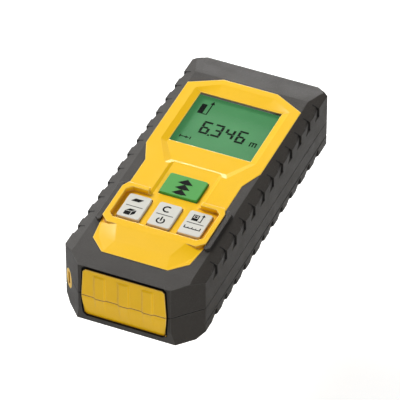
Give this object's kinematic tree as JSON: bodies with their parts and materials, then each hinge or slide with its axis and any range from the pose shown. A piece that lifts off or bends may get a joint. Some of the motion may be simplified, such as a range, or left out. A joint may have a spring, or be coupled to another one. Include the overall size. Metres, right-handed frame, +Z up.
{
  "type": "laser distance meter",
  "caption": "Handheld laser distance meter: yellow casing in black rubber grips, display, keys, optics at the far end, battery cover behind.",
  "frame": {"origin": "under the middle of the meter, on the plane that its back lies on", "axes": "+Z up out of the display and keys, +Y the way the laser leaves, +X to the right of a reader facing the display"},
  "size_m": [0.0504, 0.118, 0.0262],
  "materials": {
    "casing_yellow": "fine satin texture",
    "grip_rubber": "matte, finely pebbled",
    "seal_rubber": "matte",
    "cover_black": "fine moulded texture",
    "bezel_black": "satin",
    "window_clear": "polished acrylic",
    "optical_glass": "polished and coated",
    "lcd_green": "satin polariser",
    "white_plastic": "matte",
    "key_green": "satin",
    "key_pale": "satin",
    "silicone_grey": "matte silicone",
    "spring_steel": "nickel plated",
    "screw_steel": "blackened zinc",
    "shield_tin": "tinned sheet",
    "board_green": "solder mask",
    "chip_black": "moulded epoxy",
    "flex_amber": "polyimide film",
    "barrel_brass": "turned",
    "can_gold": "gold flash",
    "cell_wrap": "printed sleeve",
    "foam_grey": "open cell foam",
    "label_film": "satin film"
  },
  "bodies": {
    "housing": {"upper_casing": "casing_yellow", "lower_casing": "casing_yellow", "lanyard_eyelet": "casing_yellow", "upper_grip": "grip_rubber", "lower_grip": "grip_rubber", "casing_seal": "seal_rubber", "zebra_strip": "seal_rubber", "display_gasket": "seal_rubber", "front_bezel": "bezel_black", "optics_carrier": "bezel_black", "display_window": "window_clear", "receiver_lens": "optical_glass", "collimator_lens": "optical_glass", "receiver_window": "optical_glass", "laser_window": "optical_glass", "lcd_glass": "lcd_green", "lcd_frame": "white_plastic", "backlight_panel": "white_plastic", "keypad_mat": "silicone_grey", "key_domes": "spring_steel", "battery_springs": "spring_steel", "battery_plates": "spring_steel", "lanyard_bar": "spring_steel", "board_screws": "screw_steel", "casing_screws": "screw_steel", "board_shield": "shield_tin", "main_board": "board_green", "receiver_board": "board_green", "board_chips": "chip_black", "buzzer": "chip_black", "board_header": "chip_black", "laser_flex": "flex_amber", "laser_barrel": "barrel_brass", "laser_diode": "can_gold", "photodiode": "can_gold", "battery_left": "cell_wrap", "battery_right": "cell_wrap", "rear_label": "label_film"},
    "measure_button": {"measure_button": "key_green", "measure_plunger": "silicone_grey"},
    "area_volume_key": {"area_volume_key": "key_pale", "area_volume_plunger": "silicone_grey"},
    "clear_power_key": {"clear_power_key": "key_pale", "clear_power_plunger": "silicone_grey"},
    "reference_units_key": {"reference_units_key": "key_pale", "reference_units_plunger": "silicone_grey"},
    "battery_cover": {"battery_cover": "cover_black", "cover_pad": "foam_grey"}
  },
  "joints": [
    {"name": "cover_hinge", "type": "hinge", "parent": "housing", "child": "battery_cover", "pos_m": [0, 0.00175, 0.0022], "axis": [1, 0, 0], "range_deg": [0, 80]},
    {"name": "measure_press", "type": "slide", "parent": "housing", "child": "measure_button", "axis": [0, 0, -1], "range_m": [0, 0.0006], "stiffness_N_per_m": 900},
    {"name": "area_volume_press", "type": "slide", "parent": "housing", "child": "area_volume_key", "axis": [0, 0, -1], "range_m": [0, 0.0006], "stiffness_N_per_m": 700},
    {"name": "clear_power_press", "type": "slide", "parent": "housing", "child": "clear_power_key", "axis": [0, 0, -1], "range_m": [0, 0.0006], "stiffness_N_per_m": 700},
    {"name": "reference_units_press", "type": "slide", "parent": "housing", "child": "reference_units_key", "axis": [0, 0, -1], "range_m": [0, 0.0006], "stiffness_N_per_m": 700}
  ]
}
